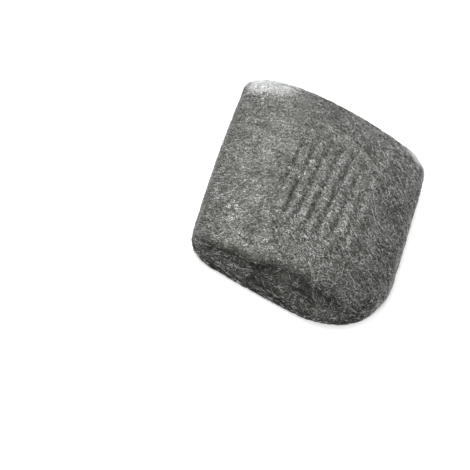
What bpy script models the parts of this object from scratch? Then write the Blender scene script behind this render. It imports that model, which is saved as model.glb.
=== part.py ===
"""A hand pad of steel wool, folded from one ribbon, lying on its flat underside.

+X runs along the strands, from the thin folded end to the thick one. +Y runs
across the ribbon, from the near edge to the far edge, and +Z is up. The origin is
under the middle of the pad, on the surface that it rests on. Sizes are in metres.
"""

import math

import bmesh
import bpy
from mathutils import Matrix

# The plan: a quadrilateral a little out of square, as a folded ribbon comes out
NEAR_LENGTH = 0.084
FAR_LENGTH = 0.092
DEPTH = 0.103
SKEW = 0.0166  # the far edge lies this much further toward -X than the near edge
FAR_BOW = 0.0049  # the far edge swells outward in the middle
FAR_BOW_LEAN = 0.15  # and more toward the thin end
NEAR_BOW = 0.001
THIN_BOW = 0.0013  # the thin end swells outward too
NEAR_RIGHT_RADIUS = 0.030  # the corner that was rolled in, the largest
NEAR_LEFT_RADIUS = 0.008
FAR_RIGHT_RADIUS = 0.0055
FAR_LEFT_RADIUS = 0.0045

# The thickness and the way that it falls off toward the edges
THICKNESS = 0.0205
THIN_END = 0.48  # share of the thickness lost at the -X end, where fewer layers lie
THIN_END_POWER = 8.0  # the higher, the nearer to the end it is lost
THICK_END = 0.16  # share lost at the +X end
NEAR_FALL = 0.13  # share lost at the near edge, and below it at the far edge
FAR_FALL = 0.29
CORNER_FALL = 0.42  # further share lost at the rolled-in corner
NOSE = 0.42  # how far each folded end rounds in, as a share of its thickness
THIN_BROW = 0.66  # the angle, in radians, at which the top slopes into each folded end
THICK_BROW = 0.26
LIP = 0.0016  # how far the long walls round in at their top and bottom rims

# The crease between the ribbon's layers, along the long walls. On the near wall it runs
# close under the top rim. Heights go from -1 at the bottom to 1 at the top
LAYER_CREASE = 0.0034
LAYER_WIDTH = 0.26
CREASE_HEIGHT = 0.56
CREASE_HEIGHT_AT_CORNER = 0.48
FAR_CREASE_HEIGHT = 0.2
NEAR_LEAN = 0.0026  # how far the near wall's top stands in, over the layers that bulge out
CREASE_LEVEL = 0.2  # the cage's level that is carried along the crease

# The flap: the ribbon's end, tucked down behind a crease near the far edge
FLAP_LINE = 0.65  # across the pad, from -1 at the near edge to 1 at the far edge
FLAP_SLOPE = -0.17  # how the line moves across, to the pad's half length
FLAP_STEP = 0.0012
FLAP_CREASE = 0.0022

# The crimps: short ridges across the strands that the folds squeezed up. They lean,
# and they fade out from the middle of the pad. Spans are from -1 to 1, as above
CRIMP_HEIGHT = 0.0012
CRIMP_LEAN = 0.16  # how far a ridge moves along the pad on its way across it
CRIMP_SHIFT = -0.07  # where the ridges lie along the pad
CRIMP_START, CRIMP_END = -0.42, 0.58  # along the pad
CRIMP_NEAR, CRIMP_FAR = -0.48, 0.40  # across it
CRIMP_FADE = 0.10  # half of the span over which they fade, at each side
ROW_LINE = 0.1  # a crease across the middle of the ridges
ROW_CREASE = 0.0008

# The cage: two columns to a crimp, so that neighbours rise and fall in turn
COLUMNS = 26
ROWS = 24
LAYERS = 5


def smooth(low, high, value):
    """Rise from 0 at low to 1 at high, with level ends."""
    t = min(max((value - low) / (high - low), 0.0), 1.0)
    return t * t * (3.0 - 2.0 * t)


def bump(centre, width, value):
    """A bell of height 1 around centre."""
    return math.exp(-(((value - centre) / width) ** 2))


def corner_radius(u, v):
    """The plan radius of the corner in this quarter of the pad."""
    if v < 0.0:
        return NEAR_RIGHT_RADIUS if u > 0.0 else NEAR_LEFT_RADIUS
    return FAR_RIGHT_RADIUS if u > 0.0 else FAR_LEFT_RADIUS


def along_edge(t, half, radius):
    """How far a straight edge's point goes back along it, and in, to round its end."""
    arc_start = 1.0 - radius / half
    angle = math.pi / 4.0 * max(t - arc_start, 0.0) / (1.0 - arc_start)
    reached = min(t * half, half - radius) + radius * math.sin(angle)
    return t * half - reached, radius * (1.0 - math.cos(angle))


def corner_shift(u, v, half_x, half_y):
    """How far a point moves in, in x and y, to round the nearest corner of the plan.

    The two edges' shifts are carried into the plan, each fading away from its edge,
    and the corner's own shift, which both hold, is taken off once.
    """
    radius = corner_radius(u, v)
    long_x, long_y = along_edge(abs(u), half_x, radius)
    short_y, short_x = along_edge(abs(v), half_y, radius)
    corner = radius * (1.0 - math.sqrt(0.5))
    near_u, near_v = abs(u) ** 3, abs(v) ** 3
    both = corner * near_u * near_v
    return (
        long_x * near_v + short_x * near_u - both,
        long_y * near_v + short_y * near_u - both,
    )


def lean(u, v):
    """How far the cage's columns move along the pad, so that they run as the crimps do."""
    return (1.0 - u * u) * (CRIMP_LEAN * v + CRIMP_SHIFT)


def crimps(u, v, column):
    """The ridges' height: columns rise and fall in turn, with a groove in the middle."""
    turn = -1.0 if column % 2 else 1.0
    share = smooth(CRIMP_START - CRIMP_FADE, CRIMP_START + CRIMP_FADE, u)
    share *= 1.0 - smooth(CRIMP_END - 2.0 * CRIMP_FADE, CRIMP_END + 2.0 * CRIMP_FADE, u)
    share *= smooth(CRIMP_NEAR - CRIMP_FADE, CRIMP_NEAR + CRIMP_FADE, v)
    share *= 1.0 - smooth(CRIMP_FAR - CRIMP_FADE, CRIMP_FAR + CRIMP_FADE, v)
    uneven = 0.8 + 0.2 * math.sin(2.1 * column + 3.0 * v)
    return CRIMP_HEIGHT * turn * share * uneven


def height(u, v, column):
    """The top of the pad over the ground, at a place in the plan."""
    z = THICKNESS
    z *= 1.0 - THIN_END * ((1.0 - u) / 2.0) ** THIN_END_POWER
    z *= 1.0 - THICK_END * max(u, 0.0) ** 4
    z *= 1.0 - (NEAR_FALL if v < 0.0 else FAR_FALL) * abs(v) ** 4
    z *= 1.0 - CORNER_FALL * (max(u, 0.0) * max(-v, 0.0)) ** 2
    inner = 1.0 - max(abs(u), abs(v)) ** 8
    flap = smooth(-0.25, 0.15, u) * inner
    line = FLAP_LINE + FLAP_SLOPE * u
    z -= FLAP_STEP * flap * smooth(line - 0.05, line + 0.1, v)
    z -= FLAP_CREASE * flap * bump(line, 0.06, v)
    z -= ROW_CREASE * bump(ROW_LINE, 0.06, v) * smooth(-0.5, -0.2, u) * inner
    return z + crimps(u, v, column) * inner


def wall_inset(u, v, w):
    """How far a long wall stands in from the plan's edge, at a height w."""
    fade = smooth(-1.0, -0.6, u) * (1.0 - smooth(0.55, 0.95, u))
    inset = LIP * abs(w) ** 5 + LAYER_CREASE * fade * bump(CREASE_LEVEL, LAYER_WIDTH, w)
    if v < 0.0:
        share = smooth(-0.6, 0.0, u) * (1.0 - 0.6 * smooth(0.4, 0.9, u))
        inset += NEAR_LEAN * share * smooth(-0.5, 0.8, w)
    return inset


def crease_level(u, v, w):
    """Shift the cage's levels so that one of them runs along the layers' crease."""
    run = FAR_CREASE_HEIGHT
    if v < 0.0:
        run = CREASE_HEIGHT + (CREASE_HEIGHT_AT_CORNER - CREASE_HEIGHT) * smooth(0.2, 0.9, u)
    share = abs(v) ** 6 * (1.0 - w * w) / (1.0 - CREASE_LEVEL**2)
    return w + (run - CREASE_LEVEL) * share


def place(u, v, w):
    """Where a point of the cube's surface lies on the pad."""
    column = round((u + 1.0) * COLUMNS / 2.0)
    u += lean(u, v) * (w + 1.0) / 2.0
    across = (v + 1.0) / 2.0
    length = NEAR_LENGTH + (FAR_LENGTH - NEAR_LENGTH) * across
    top = height(u, v, column)
    brow = math.pi / 2.0 - THIN_BROW * max(-u, 0.0) ** 8 - THICK_BROW * max(u, 0.0) ** 4
    turn = w * (brow if w > 0.0 else math.pi / 2.0)
    nose = NOSE * top * (1.0 - math.cos(turn))
    half_x = length / 2.0 - nose
    half_y = DEPTH / 2.0 - wall_inset(u, v, w)

    dx, dy = corner_shift(u, v, half_x, half_y)
    x = u * half_x - math.copysign(dx, u)
    y = v * half_y - math.copysign(dy, v)

    bow = FAR_BOW * across * (1.0 - FAR_BOW_LEAN * u) - NEAR_BOW * (1.0 - across)
    y += bow * (1.0 - u * u)
    x -= SKEW * y / DEPTH + THIN_BOW * (1.0 - v * v) * min(u, 0.0) ** 2
    rounded = abs(u) ** 6
    end_level = math.sin(turn) / (math.sin(brow) if w > 0.0 else 1.0)
    level = crease_level(u, v, w) * (1.0 - rounded) + end_level * rounded
    return x, y, top * (1.0 + level) / 2.0


def cut_along(bm, axis, pieces):
    """Divide every edge that runs along an axis into equal pieces."""
    edges = [
        edge
        for edge in bm.edges
        if abs(edge.verts[0].co[axis] - edge.verts[1].co[axis]) > 1.0
    ]
    bmesh.ops.subdivide_edges(bm, edges=edges, cuts=pieces - 1, use_grid_fill=True)


def join_underside(bm):
    """Make one face of the cube's bottom grid, inside the ring of faces at its rim."""
    inside = [
        face
        for face in bm.faces
        if all(max(abs(v.co.x), abs(v.co.y)) < 0.999 and v.co.z < -0.999 for v in face.verts)
    ]
    bmesh.ops.dissolve_faces(bm, faces=inside, use_verts=True)


def steel_material():
    """Grey steel strands: metallic, with a broken-up shine."""
    material = bpy.data.materials.new("steel_wool")
    material.use_nodes = True
    shader = material.node_tree.nodes["Principled BSDF"]
    shader.inputs["Base Color"].default_value = (0.22, 0.22, 0.20, 1.0)
    shader.inputs["Metallic"].default_value = 0.85
    shader.inputs["Roughness"].default_value = 0.45
    material.diffuse_color = (0.22, 0.22, 0.20, 1.0)
    return material


def build_pad(collection):
    """The whole pad: a cube's grid moved to the pad's form, then subdivided."""
    bm = bmesh.new()
    bmesh.ops.create_cube(bm, size=2.0)
    for axis, pieces in enumerate((COLUMNS, ROWS, LAYERS)):
        cut_along(bm, axis, pieces)
    join_underside(bm)
    for vert in bm.verts:
        vert.co = place(*vert.co)
    mesh = bpy.data.meshes.new("steel_wool_pad")
    bm.to_mesh(mesh)
    bm.free()
    mesh.shade_smooth()
    mesh.materials.append(steel_material())

    pad = bpy.data.objects.new("steel_wool_pad", mesh)
    collection.objects.link(pad)
    rounding = pad.modifiers.new("rounding", "SUBSURF")
    rounding.levels = 1
    rounding.render_levels = 1
    return pad


def centre_on_ground(pad):
    """Move the cage so that the origin is under the middle of the rounded pad."""
    rounded = pad.evaluated_get(bpy.context.evaluated_depsgraph_get())
    points = [vert.co.copy() for vert in rounded.to_mesh().vertices]
    rounded.to_mesh_clear()
    middle = [(max(p[axis] for p in points) + min(p[axis] for p in points)) / 2.0 for axis in (0, 1)]
    pad.data.transform(Matrix.Translation((-middle[0], -middle[1], 0.0)))


for old in list(bpy.data.objects):
    bpy.data.objects.remove(old, do_unlink=True)

pad_collection = bpy.data.collections.new("steel_wool_pad")
bpy.context.scene.collection.children.link(pad_collection)
centre_on_ground(build_pad(pad_collection))
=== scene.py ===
# %% [markdown]
# # A pad of steel wool
#
# Steel wool is a ribbon of fine steel shavings, combed so that most of them run one
# way, then folded over itself into a pad. This lesson dresses a plain solid of such a
# pad: first the soft body with its folds and crimps, then the strands that lie on it.
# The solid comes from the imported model, in metres, with +X along the strands.

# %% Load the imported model
import math
import bpy
import numpy as np
from mathutils import Matrix, Vector


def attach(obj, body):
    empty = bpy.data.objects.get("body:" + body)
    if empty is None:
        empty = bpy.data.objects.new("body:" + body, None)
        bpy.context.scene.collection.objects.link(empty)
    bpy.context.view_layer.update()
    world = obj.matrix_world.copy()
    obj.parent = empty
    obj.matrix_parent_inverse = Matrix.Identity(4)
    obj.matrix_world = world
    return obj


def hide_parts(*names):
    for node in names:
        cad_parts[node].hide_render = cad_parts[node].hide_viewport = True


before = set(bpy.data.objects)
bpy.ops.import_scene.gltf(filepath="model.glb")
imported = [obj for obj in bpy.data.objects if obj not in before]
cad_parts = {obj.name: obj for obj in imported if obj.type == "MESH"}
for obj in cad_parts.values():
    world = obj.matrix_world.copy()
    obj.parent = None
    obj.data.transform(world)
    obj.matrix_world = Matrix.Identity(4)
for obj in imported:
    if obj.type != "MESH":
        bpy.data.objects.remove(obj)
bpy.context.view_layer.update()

# %% [markdown]
# ## The form of the folded ribbon
#
# The body could be sculpted or blown up by a cloth simulation, but steel wool is stiff
# enough to keep its folds, so its form is written as a formula on a cube's surface.
# A place on the cube is (u, v, w), each from -1 to 1: u runs along the strands, v across
# them, and w turns from the underside over the wall to the top.

# %% The plan and the thickness, in metres
NEAR_LENGTH, FAR_LENGTH, DEPTH = 0.084, 0.092, 0.103
HALF_LENGTH, HALF_DEPTH = 0.044, DEPTH / 2.0  # of a plain rectangle of the same size
SKEW = 0.0166  # the far edge lies this much further toward -X than the near edge
FAR_BOW, FAR_BOW_LEAN = 0.0049, 0.15  # the far edge swells out, more toward the thin end
NEAR_BOW, THIN_BOW = 0.001, 0.0013  # the near edge and the thin end swell a little
THICKNESS = 0.0205
SKIN = 0.0006  # the strands lie in this thickness, over the body
UNDER = 0.0004  # the body clears the ground by this, where strands lie too
QUARTER = math.pi / 2.0  # a quarter turn

print("plan:", NEAR_LENGTH, "to", FAR_LENGTH, "by", DEPTH, "m, thickness:", THICKNESS, "m")


# %% Steps, bells and waves
def smooth(low, high, value):
    """Rise from 0 at low to 1 at high as 3t^2 - 2t^3."""
    t = np.clip((value - low) / (high - low), 0.0, 1.0)
    return t * t * (3.0 - 2.0 * t)


def bump(centre, width, value):
    """A bell of height 1: e to the minus squared distance over width."""
    return np.exp(-(((value - centre) / width) ** 2))


def waves(p, q, seed, count, across, along):
    """A sum of sines with random directions: count waves, with lengths near
    `along` in p and `across` in q, scaled to a spread of about 1."""
    rng = np.random.default_rng(seed)
    kp = rng.normal(0.0, 2.0 * math.pi / along, count)
    kq = rng.normal(0.0, 2.0 * math.pi / across, count)
    phase = rng.uniform(0.0, 2.0 * math.pi, count)
    total = np.zeros(np.shape(p))
    for a, b, c in zip(kp, kq, phase):
        total += np.sin(a * p + b * q + c)
    return total * math.sqrt(2.0 / count)


print("half way up a step:", smooth(0.0, 1.0, 0.5))
print("a bell at no, half and one width:", bump(0.0, 1.0, np.array([0.0, 0.5, 1.0])).round(2))

# %% Corners of the plan
NEAR_RADII = (0.008, 0.030)  # left and right; the right corner was rolled in
FAR_RADII = (0.004, 0.0075)


def corner_radius(u, v):
    """Each quarter of the pad has its own radius, chosen by the signs of u and v."""
    near = np.where(u > 0.0, NEAR_RADII[1], NEAR_RADII[0])
    far = np.where(u > 0.0, FAR_RADII[1], FAR_RADII[0])
    return np.where(v < 0.0, near, far)


def along_edge(t, half, radius):
    """How far a straight edge's point goes back, and in, to round its end: beyond the
    arc's start the point moves on the circle by up to 45 degrees."""
    start = 1.0 - radius / half
    angle = math.pi / 4.0 * np.maximum(t - start, 0.0) / (1.0 - start)
    reached = np.minimum(t * half, half - radius) + radius * np.sin(angle)
    return t * half - reached, radius * (1.0 - np.cos(angle))


def corner_shift(u, v, half_x, half_y):
    """Both edges' shifts, each fading as a cube away from its edge, less the corner's
    own shift, which both hold."""
    radius = corner_radius(u, v)
    long_x, long_y = along_edge(np.abs(u), half_x, radius)
    short_y, short_x = along_edge(np.abs(v), half_y, radius)
    near_u, near_v = np.abs(u) ** 3, np.abs(v) ** 3
    both = radius * (1.0 - math.sqrt(0.5)) * near_u * near_v
    return (
        long_x * near_v + short_x * near_u - both,
        long_y * near_v + short_y * near_u - both,
    )


print("radii in mm, near:", np.array(NEAR_RADII) * 1000.0, "far:", np.array(FAR_RADII) * 1000.0)

# %% The crimps that the folds squeezed up
CRIMPS = 13.0  # crimps that would fit along the pad
CRIMP_HEIGHT = 0.00045
CRIMP_LEAN, CRIMP_SHIFT = 0.16, 0.07  # how a ridge moves along the pad on its way across
GROOVE = 3.2  # the higher this power, the narrower the grooves
BEHIND = 0.4  # the strength of the faint ridges behind the flap's line


def crimps(u, v):
    """Ridges as a rounded cosine of a place along the pad that leans with v, with narrow
    grooves. They fade out from the middle, and each is stronger here and weaker there."""
    leaning = u - (1.0 - u * u) * (CRIMP_LEAN * v - CRIMP_SHIFT)
    drift = 0.02 * waves(u, v, seed=5, count=12, across=0.5, along=0.9)
    phase = CRIMPS * (leaning + 1.0) / 2.0 + drift
    ridge = 1.0 - 2.0 * np.abs(np.cos(math.pi * (phase + 0.5))) ** GROOVE
    inside = smooth(-0.54, -0.30, u) * (1.0 - smooth(0.34, 0.80, u))
    inside = inside * smooth(-0.58, -0.38, v) * (1.0 - smooth(0.26, 0.50, v - 0.12 * u))
    behind = BEHIND * smooth(0.15, 0.35, u) * (1.0 - smooth(0.7, 0.85, u)) * bump(0.8, 0.13, v)
    strength = 0.85 + 0.3 * waves(u, v, seed=6, count=16, across=0.25, along=0.2)
    return CRIMP_HEIGHT * ridge * (inside * np.clip(strength, 0.25, 1.5) + behind)


across_one = np.linspace(0.0, 2.0 / CRIMPS, 5)
print("one crimp in the middle, in mm:", (1000.0 * crimps(across_one, 0.0)).round(2))

# %% The flap: the ribbon's end, tucked down near the far edge
FLAP_PLACE, FLAP_SLOPE = 0.65, 0.17  # the line across the pad, and its fall along it
FLAP_STEP, FLAP_CREASE, FLAP_LIP = 0.0012, 0.0014, 0.0005  # behind it, in it, in front


def flap_line(u):
    """Where the flap is tucked down, across the pad from -1 to 1: a line that falls
    with u, less a small step, plus a slow sine."""
    return FLAP_PLACE - FLAP_SLOPE * u - 0.04 * smooth(0.42, 0.55, u) + 0.012 * np.sin(9.0 * u)


def flap_shade(u, v):
    """The share of light at the flap: 1 less a bell that makes a dark line, cut into
    dashes by a sine, plus a bell that makes a bright line beside it."""
    dashes = smooth(-0.7, 0.3, np.sin(46.0 * u + 0.5))
    line = flap_line(u)
    across = 0.9 * dashes * bump(line, 0.026, v) - 0.5 * bump(line - 0.055, 0.025, v)
    return 1.0 - smooth(0.17, 0.26, u) * (1.0 - smooth(0.66, 0.76, u)) * across


print("the flap's line at both ends of the pad:", flap_line(np.array([-1.0, 1.0])).round(2))

# %% The height of the top
THIN_END, THICK_END = 0.48, 0.16  # the shares of the thickness lost at both ends
NEAR_FALL, FAR_FALL = 0.13, 0.29  # and at both edges
CORNER_FALL = 0.42  # and at the rolled-in corner
ROW_CREASE, SWELL = 0.0003, 0.00012  # a crease across the crimps, and slow swells


def height(u, v):
    """Thickness less its share lost at each edge, as powers of u and v, then the flap as
    a step with two bells, a crease as a bell, slow waves, and the crimps. All of these
    fade out as an eighth power toward the edges."""
    z = THICKNESS * (1.0 - THIN_END * ((1.0 - u) / 2.0) ** 8)
    z = z * (1.0 - THICK_END * np.maximum(u, 0.0) ** 4)
    z = z * (1.0 - np.where(v < 0.0, NEAR_FALL, FAR_FALL) * np.abs(v) ** 4)
    z = z * (1.0 - CORNER_FALL * (np.maximum(u, 0.0) * np.maximum(-v, 0.0)) ** 2)
    inner = 1.0 - np.maximum(np.abs(u), np.abs(v)) ** 8
    flap = smooth(-0.25, 0.15, u)
    line = flap_line(u)
    z = z - FLAP_STEP * flap * smooth(line - 0.01, line + 0.06, v) * inner
    z = z - FLAP_CREASE * flap * bump(line, 0.022, v) * inner
    z = z + FLAP_LIP * flap * bump(line - 0.06, 0.035, v) * inner
    row = 0.10 + 0.02 * np.sin(8.0 * u + 1.0)
    z = z - ROW_CREASE * bump(row, 0.03, v) * smooth(-0.45, -0.2, u) * inner
    z = z + SWELL * waves(u, v, seed=11, count=24, across=0.30, along=0.45) * inner
    return z + crimps(u, v) * inner


from_left = height(np.array([-1.0, 0.0, 1.0]), 0.0)
print("height at the thin end, middle and thick end, in mm:", (1000.0 * from_left).round(1))

# %% [markdown]
# ## The walls
#
# The long walls show the ribbon's layers: a crease runs along them where two layers
# meet. It could be cut in afterwards, but then the strands would not follow it, so it is
# part of the same formula. Little light comes out of a crease between strands. That is
# a share of light here, which the finish uses, because the real depth is full of wool.

# %% The layers' crease
FAR_WALL = 0.6  # how strong the crease is on the far wall, where it is 1 on the near one
CREASE_DARK = 0.78  # the share of light lost in the crease


def crease_line(u, v):
    """The level of the crease between the layers, from -1 to 1, and its strength. On
    the near wall it keeps just under the top rim, and on the far wall to the middle, and
    a sine moves it up and down. It fades out toward both ends."""
    run = np.where(v < 0.0, 0.77 - 0.08 * smooth(0.2, 0.9, u), 0.19)
    run = run + 0.04 * np.sin(6.0 * u + 1.0)
    fade = smooth(-1.0, -0.7, u) * (1.0 - smooth(0.55, 0.95, u))
    return run, fade * np.where(v < 0.0, 1.0, FAR_WALL)


def crease_shade(u, v, w):
    """The share of light left in the crease: 1 less a bell along it, where w is a
    quarter turn's share and its sine the level."""
    run, fade = crease_line(u, v)
    width = 0.34 - 0.13 * smooth(0.0, 0.5, u)
    along = bump(run + 0.08, width, np.sin(w * QUARTER))
    return 1.0 - CREASE_DARK * smooth(0.88, 0.98, np.abs(v)) * fade * along


print("light left up the near wall:", crease_shade(0.0, -1.0, np.linspace(-1.0, 1.0, 5)).round(2))

# %% How far the walls stand in
RIM = 0.0034  # how far the long walls round in at their rims
WALL_LEAN = 0.0033  # how far the near wall stands in at its top, over the lower layers
CREASE, LIP, LOWER_CREASE = 0.0019, 0.0003, 0.0009  # in, out above it, and in again below


def layer_inset(u, v, level):
    """How far a long wall stands in at a level from -1 to 1: a superellipse at its
    rims, a crease with a swollen lip over it, and on the near wall a lean as a
    3t^2 - 2t^3 step, because the lower layers bulge out under the lip."""
    run, fade = crease_line(u, v)
    rim = RIM * (1.0 - (1.0 - np.abs(0.975 * level) ** 5) ** 0.2)
    crease = CREASE * bump(run, 0.16, level) - LIP * bump(run + 0.24, 0.12, level)
    crease = crease + LOWER_CREASE * bump(run - 0.85, 0.12, level) * smooth(-0.6, -0.2, u)
    lean = np.where(v < 0.0, WALL_LEAN, 0.0) * smooth(-0.6, 0.0, u)
    lean = lean * (1.0 - 0.6 * smooth(0.4, 0.9, u))
    return rim + crease * fade + lean * smooth(-0.5, 0.8, level)


print("near wall, in by mm:", np.round(1000.0 * layer_inset(0.0, -1.0, np.array([-1, 0, 1])), 2))

# %% [markdown]
# ## From the cube to the pad
#
# One function now carries any place on the cube to the pad. The mat and all the strands
# are laid through it, so they keep to the same folds and never part from each other.

# %% The place of a point on the body
NOSE = 0.42  # how far each folded end rounds in, as a share of its height
THIN_BROW, THICK_BROW = 0.66, 0.26  # the top's slope at each end, in radians
middle = (0.0, 0.0)  # the plan's middle, measured below


def pad_point(u, v, w):
    """The place of (u, v, w) on the body, as x, y, z in metres.

    w turns from the middle of the wall by 90 degrees down, and up by an angle that
    meets the slope of the top there; its sine gives the level. The ends round in as
    a half ellipse and the corners as arcs. The plan is sheared by SKEW, and its edges
    and its thin end bow out as parabolas."""
    u, v, w = np.broadcast_arrays(u, v, w)
    brow = QUARTER - THIN_BROW * np.maximum(-u, 0.0) ** 8
    brow = brow - THICK_BROW * np.maximum(u, 0.0) ** 4
    turn = w * np.where(w > 0.0, brow, QUARTER)
    level = np.sin(turn) / np.where(w > 0.0, np.sin(brow), 1.0)
    across = (v + 1.0) / 2.0
    top = height(u, v)
    nose = NOSE * top * (1.0 - np.cos(turn))
    half_x = (NEAR_LENGTH + (FAR_LENGTH - NEAR_LENGTH) * across) / 2.0 - nose - SKIN
    half_y = HALF_DEPTH - layer_inset(u, v, level) * v**4 - SKIN
    dx, dy = corner_shift(u, v, half_x, half_y)
    x = u * half_x - np.sign(u) * dx
    y = v * half_y - np.sign(v) * dy
    bow = FAR_BOW * across * (1.0 - FAR_BOW_LEAN * u) - NEAR_BOW * (1.0 - across)
    y = y + bow * (1.0 - u * u)
    x = x - SKEW * y / DEPTH - THIN_BOW * (1.0 - v * v) * np.minimum(u, 0.0) ** 2
    z = UNDER + (top - SKIN - UNDER) * (1.0 + level) / 2.0
    return np.stack([x - middle[0], y - middle[1], z], axis=-1)


# %% Centre the form on the origin
grid = np.linspace(-1.0, 1.0, 161)
levels = np.array([-1.0, 0.0, 1.0])
reach = pad_point(grid[:, None, None], grid[None, :, None], levels).reshape(-1, 3)
middle = tuple((reach.max(0) + reach.min(0))[:2] / 2.0)
print("the form's middle is moved by", np.round(middle, 5), "to the origin")

before, after = pad_point(np.array([-1.0, 1.0]) / CRIMPS, 0.0, 1.0)
print("the crimps are about", round(1000.0 * (after[0] - before[0]), 1), "mm apart")

# %% [markdown]
# ## The matted body
#
# Under the strands that can be told apart lies a dense mat. A Displace modifier could
# roughen it, but the mat has a grain along the strands, which must turn with them. So it
# is a grid on all six sides of the cube, carried to the form, with its vertices pushed in
# and out by long narrow waves. Where the strands lie is kept in an attribute, so that the
# finish can follow them round the folds.


# %% A grid over a cube
def box_grid(counts):
    """The six sides of a cube as one welded grid: whole-number places and quads that
    face outwards. Equal places on two sides become one vertex."""
    places, quads, start = [], [], 0
    for axis in range(3):
        b, c = (axis + 1) % 3, (axis + 2) % 3
        nb, nc = counts[b] + 1, counts[c] + 1
        index = np.arange(nb * nc).reshape(nb, nc)
        cell = np.stack([index[:-1, :-1], index[1:, :-1], index[1:, 1:], index[:-1, 1:]], -1)
        for side in (0, counts[axis]):
            place = np.empty((nb, nc, 3), int)
            place[..., axis] = side
            place[..., b] = np.arange(nb)[:, None]
            place[..., c] = np.arange(nc)[None, :]
            places.append(place.reshape(-1, 3))
            quad = cell.reshape(-1, 4)
            quads.append((quad if side else quad[:, ::-1]) + start)
            start += nb * nc
    places, welded = np.unique(np.concatenate(places), axis=0, return_inverse=True)
    return places, welded.reshape(-1)[np.concatenate(quads)]


print("a cube cut in two each way has", len(box_grid((2, 2, 2))[1]), "quads")


# %% A mesh from arrays
def make_mesh(name, points, faces):
    """A mesh object from arrays: points (n, 3) and faces (m, 3) or (m, 4)."""
    mesh = bpy.data.meshes.new(name)
    sides = faces.shape[1]
    mesh.vertices.add(len(points))
    mesh.vertices.foreach_set("co", np.asarray(points, np.float32).ravel())
    mesh.loops.add(faces.size)
    mesh.loops.foreach_set("vertex_index", np.asarray(faces, np.int32).ravel())
    mesh.polygons.add(len(faces))
    mesh.polygons.foreach_set("loop_start", np.arange(0, faces.size, sides, dtype=np.int32))
    mesh.update(calc_edges=True)
    mesh.shade_smooth()
    piece = bpy.data.objects.new(name, mesh)
    bpy.context.scene.collection.objects.link(piece)
    return piece


def keep_attribute(piece, name, values):
    """Store one number, or one vector, per vertex under a name."""
    kind, key = ("FLOAT", "value") if values.ndim == 1 else ("FLOAT_VECTOR", "vector")
    layer = piece.data.attributes.new(name, kind, "POINT")
    layer.data.foreach_set(key, np.asarray(values, np.float32).ravel())


# %% Normals, and softening
def unit(vectors):
    """Vectors made one long: each divided by its length."""
    return vectors / np.maximum(np.linalg.norm(vectors, axis=-1, keepdims=True), 1e-12)


def vertex_normals(points, faces):
    """Each vertex's normal: the sum of its faces' cross products, made one long."""
    a, b, c, d = (points[faces[:, k]] for k in range(4))
    cross = np.cross(c - a, d - b)
    total = np.zeros_like(points)
    for k in range(4):
        np.add.at(total, faces[:, k], cross)
    return unit(total)


def soften(points, faces, rounds):
    """Move each vertex half way to the mean of its neighbours, a few times over."""
    for _ in range(rounds):
        total, count = np.zeros_like(points), np.zeros(len(points))
        for k in range(4):
            one, other = faces[:, k], faces[:, (k + 1) % 4]
            np.add.at(total, one, points[other])
            np.add.at(total, other, points[one])
            np.add.at(count, one, 1.0)
            np.add.at(count, other, 1.0)
        points = 0.5 * points + 0.5 * total / count[:, None]
    return points


print("a vector of 3 and 4 made one long:", unit(np.array([3.0, 4.0, 0.0])))

# %% The mat's shape
COUNTS = (168, 168, 28)  # cells along, across and up
GRAIN_IN, GRAIN_OUT = -0.0004, 0.00015  # the deepest and the highest grain

places, quads = box_grid(COUNTS)
share = 2.0 * places / np.array(COUNTS) - 1.0
u, v, w = share[:, 0], share[:, 1], share[:, 2]
# A part of a sine draws the cells together toward the walls, where the form bends
u = 0.7 * u + 0.3 * np.sin(u * QUARTER)
v = 0.6 * v + 0.4 * np.sin(v * QUARTER)
# The lie is the place in metres, which runs on down the walls
down = (1.0 - w) / 2.0 * THICKNESS
lie_a = u * HALF_LENGTH + np.sign(u) * down * np.abs(u) ** 8
lie_b = v * HALF_DEPTH + np.sign(v) * down * np.abs(v) ** 8

body = soften(pad_point(u, v, w), quads, rounds=3)
grain = 0.00010 * waves(lie_a, lie_b, seed=21, count=70, across=0.0016, along=0.0045)
grain += 0.00008 * waves(lie_a, lie_b, seed=22, count=50, across=0.0010, along=0.0030)
body = body + vertex_normals(body, quads) * np.clip(grain, GRAIN_IN, GRAIN_OUT)[:, None]
body[:, 2] = np.maximum(body[:, 2], 0.0)
mat = make_mesh("wool_mat", body, quads)
print("mat:", len(body), "vertices,", 2 * len(quads), "triangles")

# %% [markdown]
# ## Painted highlights and shade
#
# The far corners catch the light, and the pad is duller where its strands point away from
# it. Small lamps could pick these places out, but here they are painted: a painted highlight
# at both far corners and painted shade in a few dull places, as a share of brightness over
# the top, in metres from its middle, that the mat and the strands both read.


# %% The share of brightness
def spot(a, b, middle_a, middle_b, half_a, half_b):
    """A flat-topped bell over an ellipse: e to the minus fourth power of the distance,
    counted in the ellipse's half axes."""
    return bump(0.0, 1.0, ((a - middle_a) / half_a) ** 2 + ((b - middle_b) / half_b) ** 2)


def painted_light(a, b):
    """The share of painted light: 1, plus a painted highlight at both far corners, less
    painted shade in a trough beside the crimps and in two dull spots."""
    left = spot(a, b, -0.038, 0.052, 0.011, 0.0105)
    right = spot(a, b, 0.046, 0.053, 0.009, 0.006)
    trough = bump(-0.022, 0.006, a) * smooth(-0.038, -0.022, b) * (1.0 - smooth(-0.004, 0.010, b))
    dull = spot(a, b, 0.035, 0.007, 0.008, 0.009)
    dull = dull + 1.4 * spot(a, b, -0.027, -0.034, 0.008, 0.007)
    return 1.0 + 5.2 * left + 2.6 * right - 0.22 * trough - 0.18 * dull


print("the far left corner is", round(float(painted_light(-0.038, 0.052)), 1), "times as bright")

# %% What the mat's finish reads
SHADED_WALL = 0.4  # the share of light lost on the near wall, toward the thin end

# painted light on the mat: painted shade in the crease and at the flap, times the painted
# highlights and shade over the top
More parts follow.
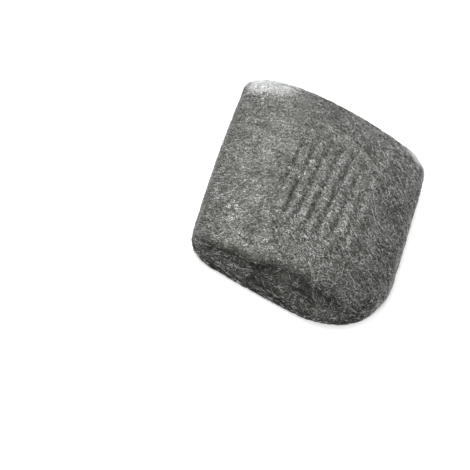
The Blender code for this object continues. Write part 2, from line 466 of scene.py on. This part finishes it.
shade = crease_shade(u, v, w) * flap_shade(u, v) * (0.5 + 0.5 * painted_light(lie_a, lie_b))
shade = shade * (1.0 - SHADED_WALL * smooth(0.96, 1.0, -v) * (1.0 - smooth(0.1, 0.6, u)))
keep_attribute(mat, "lie", np.stack([lie_a, lie_b, np.zeros_like(lie_a)], -1))
keep_attribute(mat, "shade", shade)
print("the mat's share of light runs from", shade.min().round(2), "to", shade.max().round(2))

# %% [markdown]
# ## Strands
#
# The strands are what the eye reads as steel wool. Hair particles would do, but they
# are not a mesh, so each strand is a thin three-sided tube along a wavy path. Real ones
# are shavings of many lengths, so each has its own length, thickness, bend and
# brightness. They dip into the mat at their ends.

# %% Where strands may lie
WALL = 0.020  # the walls' height, in the same measure


def sheet(a, b):
    """A sheet over the top as u, v, w, measured in metres from its middle: beyond the
    ends it turns down over the folds, and beyond the long edges down the walls."""
    u, v = a / HALF_LENGTH, b / HALF_DEPTH
    past = np.maximum((np.abs(u) - 1.0) * HALF_LENGTH, (np.abs(v) - 1.0) * HALF_DEPTH)
    w = np.clip(1.0 - 2.0 * np.maximum(past, 0.0) / WALL, -1.0, 1.0)
    return np.clip(u, -1.0, 1.0), np.clip(v, -1.0, 1.0), w


def over_top(a, b):
    """The sheet's place on the body."""
    return pad_point(*sheet(a, b))


def belt(p, q):
    """A belt round the walls as u, v, w: p metres round the pad from the near left
    corner, and q from half a wall's height down at the ground to half up at the rim."""
    long, short = 2.0 * HALF_LENGTH, DEPTH
    p = np.mod(p, 2.0 * (long + short))
    turns = [0.0, long, long + short, 2.0 * long + short, 2.0 * (long + short)]
    u = np.interp(p, turns, [-1, 1, 1, -1, -1])
    v = np.interp(p, turns, [-1, -1, 1, 1, -1])
    return u, v, np.clip(q / (WALL / 2.0), -1.0, 1.0)


def round_walls(p, q):
    """The belt's place on the body."""
    return pad_point(*belt(p, q))


def under_side(a, b):
    """The underside, measured as the top is but with b turned round, so that its
    normal points down."""
    u, v = np.clip(a / HALF_LENGTH, -1.0, 1.0), np.clip(-b / HALF_DEPTH, -1.0, 1.0)
    return pad_point(u, v, -1.0)


print("over the far edge, 5 mm down:", over_top(0.0, HALF_DEPTH + 0.005).round(4))

# %% The faces of many tubes
SIDES = 3  # the sides of a strand's tube


def tube_faces(count, steps):
    """The triangles of count tubes, each with a ring of SIDES vertices at both ends of
    every step: two for each side of a step, and a cap at each end."""
    own = np.arange((steps + 1) * SIDES).reshape(steps + 1, SIDES)
    near, far = own[:-1], own[1:]
    near_next, far_next = np.roll(near, -1, 1), np.roll(far, -1, 1)
    wall = [np.stack([near, near_next, far_next], -1), np.stack([near, far_next, far], -1)]
    caps = np.array([own[0, ::-1], own[-1]])
    one = np.concatenate([np.concatenate(wall).reshape(-1, 3), caps])
    return (one[None] + (np.arange(count) * own.size)[:, None, None]).reshape(-1, 3)


print("a strand of 3 steps has", len(tube_faces(1, 3)), "triangles")

# %% Wavy paths on a surface
BEND = 14.0  # the spread of the strands' bends, in metres across per square metre along
BURIED = 0.0005  # how deep both ends go
PROBE = 0.0002  # how far from a point the surface's slope is measured


def ripple(rng, t, low, high, short, long):
    """A sine of t for each strand, with a random height between low and high, a random
    length between short and long, and a random phase."""
    tall, reach = rng.uniform(low, high, len(t)), rng.uniform(short, long, len(t))
    phase = rng.uniform(0.0, 2.0 * math.pi, len(t))
    return tall[:, None] * np.sin(2.0 * math.pi * t / reach[:, None] + phase[:, None])


def paths(surface, rng, start, turn, size, lift, steps, curl):
    """Each strand's path, and the surface's normals along it. A path is its start, plus
    t along its heading `turn`, plus a sine of t, times `curl`, and a square of t across
    it. It stands off the surface by `lift` plus another sine, less a sixth power of t
    that buries both ends. The normal is the cross product of the surface's two slopes."""
    t = np.linspace(-0.5, 0.5, steps + 1)[None, :] * size[:, None]
    side = curl * ripple(rng, t, 0.00005, 0.00030, 0.002, 0.006)
    side = side + rng.normal(0.0, BEND, len(t))[:, None] * t * t
    cos, sin = np.cos(turn)[:, None], np.sin(turn)[:, None]
    a = start[:, 0, None] + t * cos - side * sin
    b = start[:, 1, None] + t * sin + side * cos
    along_a = surface(a + PROBE, b) - surface(a - PROBE, b)
    along_b = surface(a, b + PROBE) - surface(a, b - PROBE)
    normal = unit(np.cross(along_a, along_b))
    off = lift[:, None] + ripple(rng, t, 0.00005, 0.00022, 0.003, 0.007)
    off = off - BURIED * np.abs(2.0 * t / size[:, None]) ** 6
    return surface(a, b) + normal * off[..., None], normal


sample = ripple(np.random.default_rng(1), np.linspace(0.0, 0.006, 4)[None], 1.0, 1.0, 0.006, 0.006)
print("a ripple of height 1 at four places:", sample[0].round(2))

# %% Tubes round the paths
TIP = 0.6  # the share of its thickness that a strand loses at its tips
GROUND = 0.00002  # the lowest that a strand may lie


def tube_points(centre, normal, thick):
    """A ring of SIDES vertices round each point of each path: the point, plus the cosine
    of a turn beside the path and its sine away from the surface, times a radius that
    thins as a fourth power toward both ends."""
    ahead = unit(np.gradient(centre, axis=1))
    out = unit(normal - ahead * np.sum(normal * ahead, axis=-1, keepdims=True))
    beside = np.cross(ahead, out)
    ends = np.abs(np.linspace(-1.0, 1.0, centre.shape[1]))[None, :]
    radius = thick[:, None] * (1.0 - TIP * ends**4)
    turns = np.arange(SIDES) * 2.0 * math.pi / SIDES + QUARTER
    ring = np.cos(turns)[:, None] * beside[:, :, None, :]
    ring = ring + np.sin(turns)[:, None] * out[:, :, None, :]
    points = centre[:, :, None, :] + ring * radius[:, :, None, None]
    points[..., 2] = np.maximum(points[..., 2], GROUND)
    return points.reshape(-1, 3)


def strands(name, surface, rng, start, turn, size, lift, thick, tone, uneven, steps=3, curl=1.0):
    """Lay a strand at each start on a surface and make them one mesh. A strand's own
    tone is multiplied at every step by a log-normal draw with the spread `uneven`, which
    is one number or one for each strand."""
    centre, normal = paths(surface, rng, start, turn, size, lift, steps, curl)
    faces = tube_faces(len(start), steps)
    piece = make_mesh(name, tube_points(centre, normal, thick), faces)
    tone = tone[:, None] * rng.lognormal(0.0, uneven, (len(start), steps + 1))
    keep_attribute(piece, "tone", np.repeat(tone.ravel(), SIDES))
    print(name, len(start), "strands,", len(faces), "triangles")
    return piece


# %% [markdown]
# ## Laying the strands
#
# Most strands keep to the combed direction, which swings round from the thin end to the
# thick one. On the far half, where the folds squeezed up the crimps, they are matted and
# cross each other. Three pieces cover the top, one goes round the walls, one covers the
# underside, and one is fluff at the far corners. One piece could hold them all, but each
# layer has its own height, and a piece stays under 200,000 triangles.


# %% Headings and tones
HEADING, SWING, DRIFT = -0.08, 0.25, 0.08  # in the middle, from there to an end, and waves
LOOSE = 1.1  # the spread of strands that cross the rest; all four are in radians


def combed(rng, start, spread, crossing):
    """Headings that swing from left to right in proportion to x, plus slow waves and a
    normal spread. A share of them, `crossing`, crosses the rest with a wide spread."""
    swing = HEADING - SWING * np.clip(start[:, 0] / HALF_LENGTH, -1.0, 1.0)
    drift = waves(start[:, 0], start[:, 1], seed=31, count=14, across=0.05, along=0.07)
    swing = swing + DRIFT * drift
    loose = rng.uniform(size=len(start)) < crossing
    return swing + rng.normal(0.0, 1.0, len(start)) * np.where(loose, LOOSE, spread)


def brightness(rng, start):
    """A strand's own tone: log-normal, with a wider spread and a lower middle toward the
    near right, times the painted highlights and painted shade, which also narrow the spread."""
    along, across = start[:, 0], start[:, 1]
    rough = smooth(-0.05, 0.05, 0.8 * along - 0.5 * across)
    glow = painted_light(along, across)
    spread = (0.12 + 1.30 * rough) / np.sqrt(np.maximum(glow, 1.0))
    return np.exp(rng.normal(-0.05, 1.0, len(start)) * spread + 0.03 - 0.23 * rough) * glow


sample = combed(np.random.default_rng(1), np.zeros((6, 2)), spread=0.46, crossing=0.36)
print("headings of six strands in the middle, in degrees:", np.degrees(sample).round())

# %% Over the top
def top_strands(name, seed, count, lift_low, lift_high, steps):
    """Strands over the top and down over both folded ends and the walls' rims."""
    rng = np.random.default_rng(seed)
    start = np.stack([rng.uniform(-0.060, 0.060, count), rng.uniform(-0.055, 0.055, count)], -1)
    matted = smooth(-0.03, -0.01, start[:, 1])
    u, v, w = sheet(start[:, 0], start[:, 1])
    return strands(
        name, over_top, rng, start,
        turn=combed(rng, start, 0.46 + 0.12 * matted, 0.36 + 0.10 * matted),
        size=rng.uniform(0.0025, 0.0018 * steps, count),
        lift=rng.uniform(lift_low, lift_high, count),
        thick=rng.uniform(0.00003, 0.00007, count),
        # the tone carries painted highlights and painted shade: the far corners, the crease and
        # the flap
        tone=brightness(rng, start) * crease_shade(u, v, w) * flap_shade(u, v),
        uneven=0.15 + 0.75 * smooth(-0.03, 0.02, start[:, :1]),
        steps=steps,
    )


lower = top_strands("strands_lower", 101, 9900, -0.00012, 0.00016, 3)
middle_layer = top_strands("strands_middle", 102, 9900, 0.00002, 0.00030, 3)
upper = top_strands("strands_upper", 105, 4600, 0.00016, 0.00046, 4)

# %% Round the walls
TO_FAR_WALL = 0.191  # metres along the belt, from the near wall to the far one
FAR_SHARE = 0.42  # the share of these strands that lie on the far wall
PAST_CORNERS = (-0.004, 0.098)  # metres along a wall, from before it to beyond it

rng = np.random.default_rng(103)
count = 9600
on_far_wall = rng.uniform(size=count) < FAR_SHARE
place_round = rng.uniform(*PAST_CORNERS, count) + np.where(on_far_wall, TO_FAR_WALL, 0.0)
start = np.stack([place_round, rng.uniform(-WALL / 2.0, WALL / 2.0, count)], -1)
clumps = waves(start[:, 0], start[:, 1], seed=41, count=40, across=0.0009, along=0.002)
crease = crease_shade(*belt(start[:, 0], start[:, 1]))
walls = strands(
    "strands_walls", round_walls, rng, start,
    turn=rng.normal(0.0, 1.0, count) * np.where(rng.uniform(size=count) < 0.3, 0.9, 0.25),
    size=rng.uniform(0.0020, 0.0060, count),
    lift=rng.uniform(-0.0001, 0.0006, count),
    thick=rng.uniform(0.00004, 0.00009, count),
    # painted shade: the wall's strands are painted far darker than those on top, for the wall that
    # faces away from the light, and darker still in the crease
    tone=rng.lognormal(-1.5, 1.7, count) * np.exp(0.7 * clumps) * crease,
    uneven=0.8,
    curl=0.4,
)

# %% The underside
rng = np.random.default_rng(104)
count = 2600
start = np.stack([rng.uniform(-0.042, 0.042, count), rng.uniform(-0.049, 0.049, count)], -1)
under = strands(
    "strands_underside", under_side, rng, start,
    turn=combed(rng, start, 0.3, 0.2),
    size=rng.uniform(0.006, 0.013, count),
    lift=rng.uniform(0.0, 0.0003, count),
    thick=rng.uniform(0.00004, 0.00008, count),
    tone=rng.lognormal(0.0, 0.5, count),
    uneven=0.4,
)

# %% Fluff at the far corners
LEFT_MIDDLE, LEFT_REACH = (-0.038, 0.053), (0.008, 0.005)  # metres along and across
RIGHT_MIDDLE, RIGHT_REACH = (0.046, 0.053), (0.006, 0.003)
RIGHT_SHARE = 0.4  # the share of the fluff that lies at the right corner

rng = np.random.default_rng(106)
count = 2500
on_right = rng.uniform(size=count)[:, None] < RIGHT_SHARE
start = rng.normal(0.0, 1.0, (count, 2)) * np.where(on_right, RIGHT_REACH, LEFT_REACH)
start = start + np.where(on_right, RIGHT_MIDDLE, LEFT_MIDDLE)
fluff = strands(
    "strands_fluff", over_top, rng, start,
    turn=rng.normal(0.0, 0.9, count),
    size=rng.uniform(0.002, 0.005, count),
    lift=rng.uniform(0.0002, 0.0010, count),
    thick=rng.uniform(0.00002, 0.000045, count),
    # painted highlight: the fluff is painted bright, for the glow where light catches the far
    # corners
    tone=rng.lognormal(1.2, 0.3, count),
    uneven=0.3,
    steps=4,
)

# %% [markdown]
# ## The finish
#
# Steel wool is bare steel: metallic, grey with a hint of olive, and rough in one strand
# and bright in the next. A hair shader would want real hair, so a plain Principled BSDF
# is used, and the glints are painted glints in the strands' own tones. One node group gives
# the steel's colour and roughness from a tone, with slow mottling and fine specks, partly
# the steel's uneven tone and partly painted glints. Another draws fine streaks along the
# lie of the strands, for the mat between them. The fluff at the corners has fewer specks,
# so that its painted highlight stays pale and even.


# %% Groups and Math nodes
def new_group(name, inputs, outputs):
    """An empty shader group with named sockets, given as (name, socket, default)."""
    group = bpy.data.node_groups.new(name, "ShaderNodeTree")
    for label, socket, default in inputs:
        made = group.interface.new_socket(label, in_out="INPUT", socket_type=socket)
        if default is not None:
            made.default_value = default
    for label, socket in outputs:
        group.interface.new_socket(label, in_out="OUTPUT", socket_type=socket)
    return group, group.nodes.new("NodeGroupInput"), group.nodes.new("NodeGroupOutput")


def math_node(tree, operation, first, second=None, third=None):
    """A Math node; a number is set on its socket and a socket is linked."""
    node = tree.nodes.new("ShaderNodeMath")
    node.operation = operation
    for socket, value in zip(node.inputs, (first, second, third)):
        if value is None:
            continue
        if isinstance(value, (int, float)):
            socket.default_value = value
        else:
            tree.links.new(value, socket)
    return node.outputs[0]


def noise_node(tree, vector, scale, detail):
    """A Noise Texture that reads a vector."""
    node = tree.nodes.new("ShaderNodeTexNoise")
    node.inputs["Scale"].default_value = scale
    node.inputs["Detail"].default_value = detail
    tree.links.new(vector, node.inputs["Vector"])
    return node


# %% The steel
# the ramp's bright end is reached by the painted glints and the painted highlights
DARK, GREY, BRIGHT = (0.02, 0.02, 0.017), (0.152, 0.153, 0.134), (0.78, 0.79, 0.79)
GREY_AT = 0.4  # where a tone of 1 lies on the ramp


def steel_group():
    """Colour and roughness of the steel from a tone: the tone plus slow noise, times 1
    plus fine noise, picks the colour from a ramp; the fine noise's specks are partly painted
    glints. The fine noise is the roughness too."""
    group, inputs, outputs = new_group(
        "steel",
        [
            ("Tone", "NodeSocketFloat", 1.0),
            ("Mottle", "NodeSocketFloat", 0.3),
            ("Specks And Glints", "NodeSocketFloat", 7.0),
        ],
        [("Color", "NodeSocketColor"), ("Roughness", "NodeSocketFloat")],
    )
    place = group.nodes.new("ShaderNodeTexCoord").outputs["Object"]
    broad = noise_node(group, place, scale=160.0, detail=4.0)
    swing = math_node(group, "SUBTRACT", broad.outputs["Fac"], 0.5)
    swing = math_node(group, "MULTIPLY", swing, inputs.outputs["Mottle"])
    tone = math_node(group, "MULTIPLY_ADD", swing, 2.0, inputs.outputs["Tone"])
    fine = noise_node(group, place, scale=2400.0, detail=1.0)
    speck = math_node(group, "SUBTRACT", fine.outputs["Fac"], 0.5)
    speck = math_node(group, "MULTIPLY_ADD", speck, inputs.outputs["Specks And Glints"], 1.0)
    tone = math_node(group, "MULTIPLY", tone, math_node(group, "MAXIMUM", speck, 0.1))
    ramp = group.nodes.new("ShaderNodeValToRGB")
    ramp.color_ramp.elements[0].color = (*DARK, 1.0)
    ramp.color_ramp.elements[1].color = (*BRIGHT, 1.0)
    ramp.color_ramp.elements.new(GREY_AT).color = (*GREY, 1.0)
    group.links.new(math_node(group, "MULTIPLY", tone, GREY_AT), ramp.inputs["Fac"])
    group.links.new(ramp.outputs["Color"], outputs.inputs["Color"])
    rough = math_node(group, "MULTIPLY_ADD", fine.outputs["Fac"], 0.6, 0.05)
    group.links.new(rough, outputs.inputs["Roughness"])
    return group


steel = steel_group()
print("group:", steel.name)

# %% The streaks
SWAY = (0.0, 0.0035, 0.0)  # how far slow noise moves the streaks, across only
STRETCH = (900.0, 3000.0, 1.0)  # streaks to a metre, along and across


def streak_group():
    """Fine streaks along the lie: noise of the lie, moved across by slow noise, and
    counted faster across than along, so that each grain is drawn out."""
    group, inputs, outputs = new_group(
        "streaks",
        [("Lie", "NodeSocketVector", None), ("Width", "NodeSocketFloat", 1.0)],
        [("Streak", "NodeSocketFloat")],
    )
    lie = inputs.outputs["Lie"]
    drift = noise_node(group, lie, scale=140.0, detail=2.0)
    sway = group.nodes.new("ShaderNodeVectorMath")
    sway.operation = "MULTIPLY_ADD"
    group.links.new(drift.outputs["Color"], sway.inputs[0])
    sway.inputs[1].default_value = SWAY
    group.links.new(lie, sway.inputs[2])
    stretch = group.nodes.new("ShaderNodeVectorMath")
    stretch.operation = "MULTIPLY"
    group.links.new(sway.outputs[0], stretch.inputs[0])
    stretch.inputs[1].default_value = STRETCH
    scale = group.nodes.new("ShaderNodeVectorMath")
    scale.operation = "SCALE"
    group.links.new(stretch.outputs[0], scale.inputs[0])
    group.links.new(inputs.outputs["Width"], scale.inputs["Scale"])
    fine = noise_node(group, scale.outputs[0], scale=1.0, detail=3.0)
    group.links.new(fine.outputs["Fac"], outputs.inputs["Streak"])
    return group


streaks = streak_group()
print("group:", streaks.name)

# %% Materials
MOTTLE = 0.35  # how much the tone wanders over the pad


def new_material(name, metallic):
    """A material with a share of metal from 0 to 1, its tree and its shader."""
    material = bpy.data.materials.new(name)
    material.use_nodes = True
    shader = material.node_tree.nodes["Principled BSDF"]
    shader.inputs["Metallic"].default_value = metallic
    return material, material.node_tree, shader


def read_attribute(tree, name):
    """An Attribute node for a value that a mesh keeps."""
    node = tree.nodes.new("ShaderNodeAttribute")
    node.attribute_name = name
    return node


def group_node(tree, group):
    """Place a group in a material's tree."""
    node = tree.nodes.new("ShaderNodeGroup")
    node.node_tree = group
    return node


def add_steel(tree, shader, tone, grain):
    """Place the steel group between a tone and the shader; grain sets its specks, partly painted
    glints.
    """
    metal = group_node(tree, steel)
    tree.links.new(tone, metal.inputs["Tone"])
    metal.inputs["Mottle"].default_value = MOTTLE
    metal.inputs["Specks And Glints"].default_value = grain
    tree.links.new(metal.outputs["Color"], shader.inputs["Base Color"])
    tree.links.new(metal.outputs["Roughness"], shader.inputs["Roughness"])


def mat_material():
    """The mat: the streaks, drawn apart as 2.6 times their value less 0.75 and then
    times the mat's share of light, are its tone, and they are its relief too."""
    material, tree, shader = new_material("matted_steel", metallic=0.8)
    streak = group_node(tree, streaks)
    tree.links.new(read_attribute(tree, "lie").outputs["Vector"], streak.inputs["Lie"])
    # painted shade: less 0.75 keeps the mat darker than the strands, for the shaded depth of wool
    # between them
    tone = math_node(tree, "MULTIPLY_ADD", streak.outputs["Streak"], 2.6, -0.75)
    light = read_attribute(tree, "shade").outputs["Fac"]
    add_steel(tree, shader, math_node(tree, "MULTIPLY", tone, light), grain=7.0)
    relief = tree.nodes.new("ShaderNodeBump")
    relief.inputs["Distance"].default_value = 0.0003
    relief.inputs["Strength"].default_value = 0.8
    tree.links.new(streak.outputs["Streak"], relief.inputs["Height"])
    tree.links.new(relief.outputs["Normal"], shader.inputs["Normal"])
    return material


def strand_material(name, grain):
    """The strands: bright steel whose tone, with its painted glints, is each strand's own,
    and specked by grain, partly painted glints.
    """
    material, tree, shader = new_material(name, metallic=0.9)
    add_steel(tree, shader, read_attribute(tree, "tone").outputs["Fac"], grain)
    return material


matted = mat_material()
# the pale finish keeps the fluff's painted highlight even, with fewer specks
bright, pale = strand_material("bright_strands", 7.0), strand_material("pale_highlight_strands", 1.5)
mat.data.materials.append(matted)
for piece in (lower, middle_layer, upper, walls, under):
    piece.data.materials.append(bright)
fluff.data.materials.append(pale)
print("materials:", matted.name, bright.name, pale.name)

# %% [markdown]
# ## Join the pieces to the model
#
# The solid is the pad's plain form, and it could show through, so the mat takes its
# place. The mat is soft and full of air, which is what the padded line says. Every piece
# rides on the pad's only body and has its material slot.

# %% Bodies and slots
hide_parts("steel_wool_pad")
for piece in (mat, lower, middle_layer, upper, walls, under, fluff):
    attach(piece, "root")
print("the mat stands for the solid, and every piece rides on the root")

# %% [markdown]
# ## Floor, light and camera
#
# The pad lies on a white table under a large soft light from the upper left. This leaves
# the wall toward the camera in shade. A lower light behind lights up the loose strands at
# the far edge, and a small one in front makes the glints sharp. The table could be lit
# from below through glass. Here it shines a little by itself, which fills the shadow in
# the same way. The camera looks down and is tilted to the side.

# %% The table
floor_mesh = bpy.data.meshes.new("floor")
floor_mesh.from_pydata([(-4, -4, 0), (4, -4, 0), (4, 4, 0), (-4, 4, 0)], [], [(0, 1, 2, 3)])
floor = bpy.data.objects.new("floor", floor_mesh)
bpy.context.scene.collection.objects.link(floor)
white, _, table = new_material("white_table", metallic=0.0)
table.inputs["Base Color"].default_value = (0.9, 0.9, 0.9, 1.0)
table.inputs["Roughness"].default_value = 0.8
table.inputs["Emission Color"].default_value = (1.0, 1.0, 1.0, 1.0)
table.inputs["Emission Strength"].default_value = 0.3
floor_mesh.materials.append(white)
print("the table is", floor.dimensions.x, "m wide")


# %% The lights
def soft_light(name, place, size, power):
    """A square area light of a size in metres and a power in watts. Its -Z looks at the
    pad's middle."""
    light = bpy.data.lights.new(name, "AREA")
    light.size, light.energy = size, power
    holder = bpy.data.objects.new(name, light)
    holder.location = place
    bpy.context.scene.collection.objects.link(holder)
    toward = Vector((0.0, 0.0, 0.01)) - holder.location
    holder.rotation_euler = toward.to_track_quat("-Z", "Y").to_euler()
    print(name, "light:", size, "m,", power, "W")


soft_light("key", (-0.36, 0.16, 0.82), 0.6, 8.8)
soft_light("rim", (-0.25, 0.75, 0.35), 0.35, 1.2)
soft_light("sparkle", (-0.10, -0.55, 0.50), 0.04, 1.9)

world = bpy.data.worlds.new("studio")
bpy.context.scene.world = world
world.use_nodes = True
world.node_tree.nodes["Background"].inputs["Color"].default_value = (1.0, 1.0, 1.0, 1.0)
world.node_tree.nodes["Background"].inputs["Strength"].default_value = 0.75
bpy.context.scene.view_settings.view_transform = "Standard"

# %% The camera
AZIMUTH, ELEVATION, ROLL = math.radians(8.2), math.radians(50.0), math.radians(22.0)
PICTURE = 470.0  # the picture's width and height in pixels
DISTANCE, FOCUS = 0.4707, 1105.0  # metres, and the lens in pixels of the picture
AIMED = (306.7, 193.6)  # the pixel where the pad's middle shows
PAD_MIDDLE = np.array([0.0, 0.0, 0.009])
SENSOR = 36.0  # millimetres

flat = math.cos(ELEVATION)
back = np.array([math.sin(AZIMUTH) * flat, -math.cos(AZIMUTH) * flat, math.sin(ELEVATION)])
level_right = np.array([math.cos(AZIMUTH), math.sin(AZIMUTH), 0.0])
level_up = np.cross(back, level_right)
right = math.cos(ROLL) * level_right + math.sin(ROLL) * level_up
up = np.cross(back, right)
pixel = DISTANCE / FOCUS
place = PAD_MIDDLE + back * DISTANCE
place = place - right * (AIMED[0] - PICTURE / 2.0) * pixel
place = place - up * (PICTURE / 2.0 - AIMED[1]) * pixel

lens = bpy.data.cameras.new("camera")
lens.sensor_width = SENSOR
lens.lens = FOCUS / PICTURE * SENSOR
camera = bpy.data.objects.new("camera", lens)
bpy.context.scene.collection.objects.link(camera)
camera.matrix_world = Matrix(
    [[right[i], up[i], back[i], place[i]] for i in range(3)] + [[0.0, 0.0, 0.0, 1.0]]
)
bpy.context.scene.camera = camera
print("camera at", np.round(place, 4))
